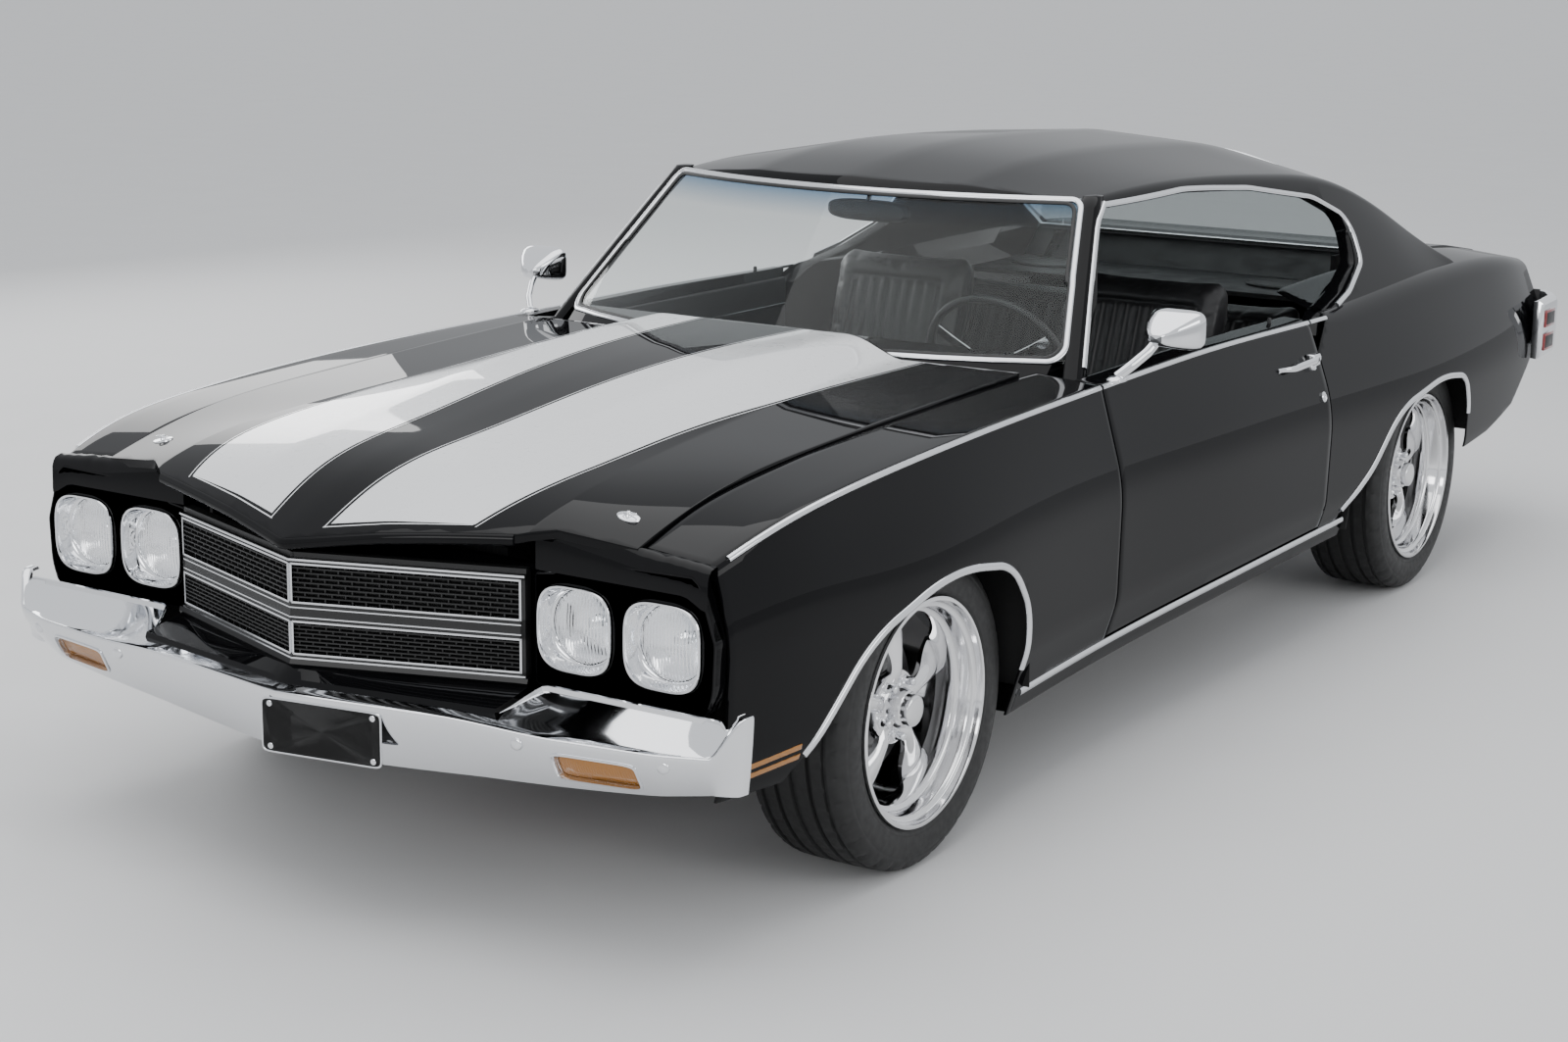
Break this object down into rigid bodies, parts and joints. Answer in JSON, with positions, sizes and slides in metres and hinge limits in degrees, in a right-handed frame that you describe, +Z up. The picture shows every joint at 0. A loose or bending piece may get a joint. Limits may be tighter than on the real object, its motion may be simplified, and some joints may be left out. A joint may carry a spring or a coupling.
{
  "type": "two-door hardtop muscle car",
  "caption": "Two-door hardtop muscle car with opening doors, hood and trunk lid, steered front wheels and turning road wheels.",
  "frame": {"origin": "on the floor below the middle of the car's length and width", "axes": "+Z up, -Y towards the nose, +X towards the car's left side"},
  "size_m": [1.98, 5.01, 1.3378],
  "materials": {
    "black_paint": "deep gloss black",
    "black_trim": "satin black",
    "chrome_plate": "polished",
    "polished_alloy": "polished",
    "tyre_rubber": "dry black",
    "clear_glass": "clear, light tint",
    "lamp_glass": "fluted clear",
    "amber_lens": "amber",
    "red_lens": "ribbed red",
    "black_vinyl": "fine grain, satin",
    "cabin_trim": "matt black",
    "chassis": "satin black",
    "cast_metal": "as cast",
    "bare_steel": "dull"
  },
  "bodies": {
    "root": {"fender_left": "black_paint", "fender_right": "black_paint", "rocker_left": "black_paint", "rocker_right": "black_paint", "quarter_left": "black_paint", "quarter_right": "black_paint", "roof": "black_paint", "rear_deck": "black_paint", "cowl": "black_paint", "nose_panel": "black_paint", "tail_panel": "black_paint", "windshield": "clear_glass", "rear_window": "clear_glass", "frame": "chassis", "floor_pan": "chassis", "lamp_bezels": "chrome_plate", "headlamps": "lamp_glass", "grille": "black_trim", "front_bumper": "chrome_plate", "rear_bumper": "chrome_plate", "park_lamps": "amber_lens", "tail_lamps": "red_lens", "front_suspension": "chassis", "rear_axle": "chassis", "engine": "cast_metal", "radiator": "bare_steel", "fuel_tank": "bare_steel", "exhaust": "bare_steel", "dashboard": "cabin_trim", "steering_column": "cabin_trim", "seat_left": "black_vinyl", "seat_right": "black_vinyl", "rear_seat": "black_vinyl", "interior_mirror": "chrome_plate"},
    "door_left": {"door_left": "black_paint", "mirror_left": "chrome_plate", "handle_left": "chrome_plate"},
    "door_right": {"door_right": "black_paint", "mirror_right": "chrome_plate", "handle_right": "chrome_plate"},
    "hood": {"hood": "black_paint"},
    "trunk_lid": {"trunk_lid": "black_paint"},
    "steer_left": {"knuckle_left": "cast_metal"},
    "steer_right": {"knuckle_right": "cast_metal"},
    "steering_wheel": {"steering_wheel": "cabin_trim"},
    "wheel_fl": {"rim_fl": "polished_alloy", "tyre_fl": "tyre_rubber"},
    "wheel_fr": {"rim_fr": "polished_alloy", "tyre_fr": "tyre_rubber"},
    "wheel_rl": {"rim_rl": "polished_alloy", "tyre_rl": "tyre_rubber"},
    "wheel_rr": {"rim_rr": "polished_alloy", "tyre_rr": "tyre_rubber"}
  },
  "joints": [
    {"name": "door_left_hinge", "type": "hinge", "parent": "root", "child": "door_left", "pos_m": [0.892, -0.648, 0.6], "axis": [0, 0, -1], "range_deg": [0, 66]},
    {"name": "door_right_hinge", "type": "hinge", "parent": "root", "child": "door_right", "pos_m": [-0.892, -0.648, 0.6], "axis": [0, 0, 1], "range_deg": [0, 66]},
    {"name": "hood_hinge", "type": "hinge", "parent": "root", "child": "hood", "pos_m": [0, -0.79, 0.93], "axis": [-1, 0, 0], "range_deg": [0, 48]},
    {"name": "trunk_hinge", "type": "hinge", "parent": "root", "child": "trunk_lid", "pos_m": [0, 1.6, 0.868], "axis": [1, 0, 0], "range_deg": [0, 68]},
    {"name": "steer_left", "type": "hinge", "parent": "root", "child": "steer_left", "pos_m": [0.72, -1.545, 0.334], "axis": [0, 0, 1], "range_deg": [-30, 30]},
    {"name": "steer_right", "type": "hinge", "parent": "root", "child": "steer_right", "pos_m": [-0.72, -1.545, 0.334], "axis": [0, 0, 1], "range_deg": [-30, 30]},
    {"name": "steering_wheel_turn", "type": "hinge", "parent": "root", "child": "steering_wheel", "pos_m": [0.37, -0.33, 0.83], "axis": [0, 0.9135, 0.4067], "range_deg": [-481, 481]},
    {"name": "wheel_fl_roll", "type": "hinge", "parent": "steer_left", "child": "wheel_fl", "pos_m": [0.77, -1.545, 0.334], "axis": [1, 0, 0], "continuous": true},
    {"name": "wheel_fr_roll", "type": "hinge", "parent": "steer_right", "child": "wheel_fr", "pos_m": [-0.77, -1.545, 0.334], "axis": [1, 0, 0], "continuous": true},
    {"name": "wheel_rl_roll", "type": "hinge", "parent": "root", "child": "wheel_rl", "pos_m": [0.77, 1.3, 0.334], "axis": [1, 0, 0], "continuous": true},
    {"name": "wheel_rr_roll", "type": "hinge", "parent": "root", "child": "wheel_rr", "pos_m": [-0.77, 1.3, 0.334], "axis": [1, 0, 0], "continuous": true}
  ],
  "couplings": [
    {"joint": "steer_right", "follows": "steer_left", "ratio": 1},
    {"joint": "steering_wheel_turn", "follows": "steer_left", "ratio": 16}
  ]
}
